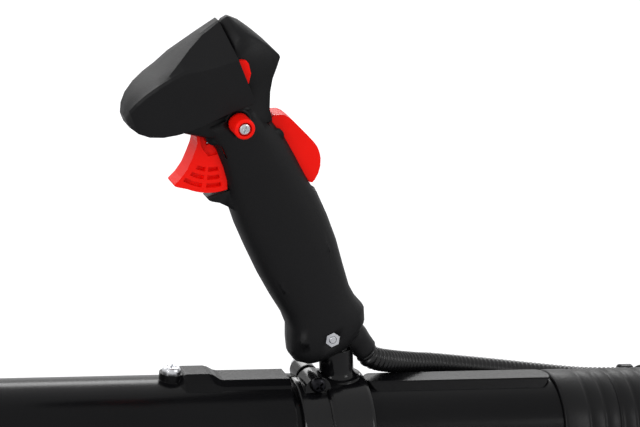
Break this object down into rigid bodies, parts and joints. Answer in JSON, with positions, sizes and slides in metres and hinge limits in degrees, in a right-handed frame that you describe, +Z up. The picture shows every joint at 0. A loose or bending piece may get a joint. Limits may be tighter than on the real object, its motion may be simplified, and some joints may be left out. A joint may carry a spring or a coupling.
{
  "type": "leaf blower pipe and control handle",
  "caption": "Hand-held air pipe of a backpack leaf blower: pistol grip with trigger, palm lever and stop switch on a clamped pipe, with a bellows hose and ribbed cable conduit.",
  "frame": {"origin": "centre of the bellows hose's rear mouth, on the pipe axis", "axes": "+X out of the hose's rear mouth, towards the blower unit; +Z up, the way the grip stands; -Y is the side with the lock button and the stop switch"},
  "size_m": [0.7199, 0.0879, 0.2767],
  "materials": {
    "pipe_black": "semi-gloss moulded plastic",
    "hose_black": "satin rubber",
    "bracket_black": "gloss moulded plastic",
    "grip_black": "fine-grained matte plastic",
    "control_red": "semi-gloss red plastic",
    "zinc": "zinc-plated steel",
    "black_steel": "blackened steel",
    "conduit_black": "satin ribbed plastic",
    "cable_black": "smooth sheath",
    "spring_steel": "spring steel"
  },
  "bodies": {
    "root": {"bellows_hose": "hose_black", "hose_clamp_band": "zinc", "hose_clamp_screw": "zinc", "clip_rear": "pipe_black", "conduit_rear": "conduit_black", "throttle_cable_rear": "cable_black", "switch_leads_rear": "cable_black"},
    "hose_mid": {"clip_middle": "pipe_black"},
    "pipe": {"control_pipe": "pipe_black", "blower_pipe": "pipe_black", "pipe_screw": "zinc", "pipe_bracket": "bracket_black", "bracket_bolt": "black_steel", "bracket_nut": "zinc", "grip_shell_near": "grip_black", "grip_shell_far": "grip_black", "shell_screws": "zinc", "grip_bolt": "zinc", "grip_nut": "zinc", "head_cover": "grip_black", "cover_screws": "zinc", "trigger_pin": "zinc", "trigger_spring": "spring_steel", "lever_pin": "zinc", "lever_spring": "spring_steel", "button_spring": "spring_steel", "switch_module": "pipe_black", "cable_adjuster": "zinc", "throttle_cable_front": "cable_black", "switch_leads_front": "cable_black", "conduit_boot": "cable_black", "conduit_front": "conduit_black", "clip_front": "pipe_black"},
    "trigger": {"trigger": "control_red"},
    "throttle_wire": {"throttle_wire": "zinc"},
    "palm_lever": {"palm_lever": "control_red"},
    "lock_button": {"lock_button": "control_red", "button_stem": "zinc", "button_screw": "zinc"},
    "stop_switch": {"stop_slider": "control_red"}
  },
  "joints": [
    {"name": "hose_yaw", "type": "hinge", "parent": "root", "child": "hose_mid", "pos_m": [-0.0705, 0, 0], "axis": [0, 0, 1], "range_deg": [-15, 15], "deforming": ["bellows_hose", "conduit_rear", "throttle_cable_rear", "switch_leads_rear"]},
    {"name": "hose_pitch", "type": "hinge", "parent": "hose_mid", "child": "pipe", "pos_m": [-0.1215, 0, 0], "axis": [0, 1, 0], "range_deg": [-12, 15], "deforming": ["bellows_hose", "conduit_front", "throttle_cable_front", "switch_leads_front"]},
    {"name": "trigger", "type": "hinge", "parent": "pipe", "child": "trigger", "pos_m": [-0.41681, 0, 0.17042], "axis": [0, -1, 0], "range_deg": [0, 20], "stiffness_Nm_per_rad": 0.15, "springref_deg": -22.92, "deforming": ["trigger_spring"]},
    {"name": "throttle_wire", "type": "slide", "parent": "pipe", "child": "throttle_wire", "axis": [-0.585, 0, 0.811], "range_m": [0, 0.0047]},
    {"name": "palm_lever", "type": "hinge", "parent": "pipe", "child": "palm_lever", "pos_m": [-0.38326, 0, 0.1712], "axis": [0, 1, 0], "range_deg": [0, 14], "stiffness_Nm_per_rad": 0.15, "springref_deg": -22.92, "deforming": ["lever_spring"]},
    {"name": "lock_button", "type": "slide", "parent": "pipe", "child": "lock_button", "axis": [0, 1, 0], "range_m": [0, 0.004], "stiffness_N_per_m": 400, "springref_m": -0.003, "deforming": ["button_spring"]},
    {"name": "stop_switch", "type": "slide", "parent": "pipe", "child": "stop_switch", "axis": [0.4384, 0, -0.8988], "range_m": [0, 0.006]}
  ],
  "couplings": [
    {"joint": "throttle_wire", "follows": "trigger", "m_per_rad": 0.013433}
  ]
}
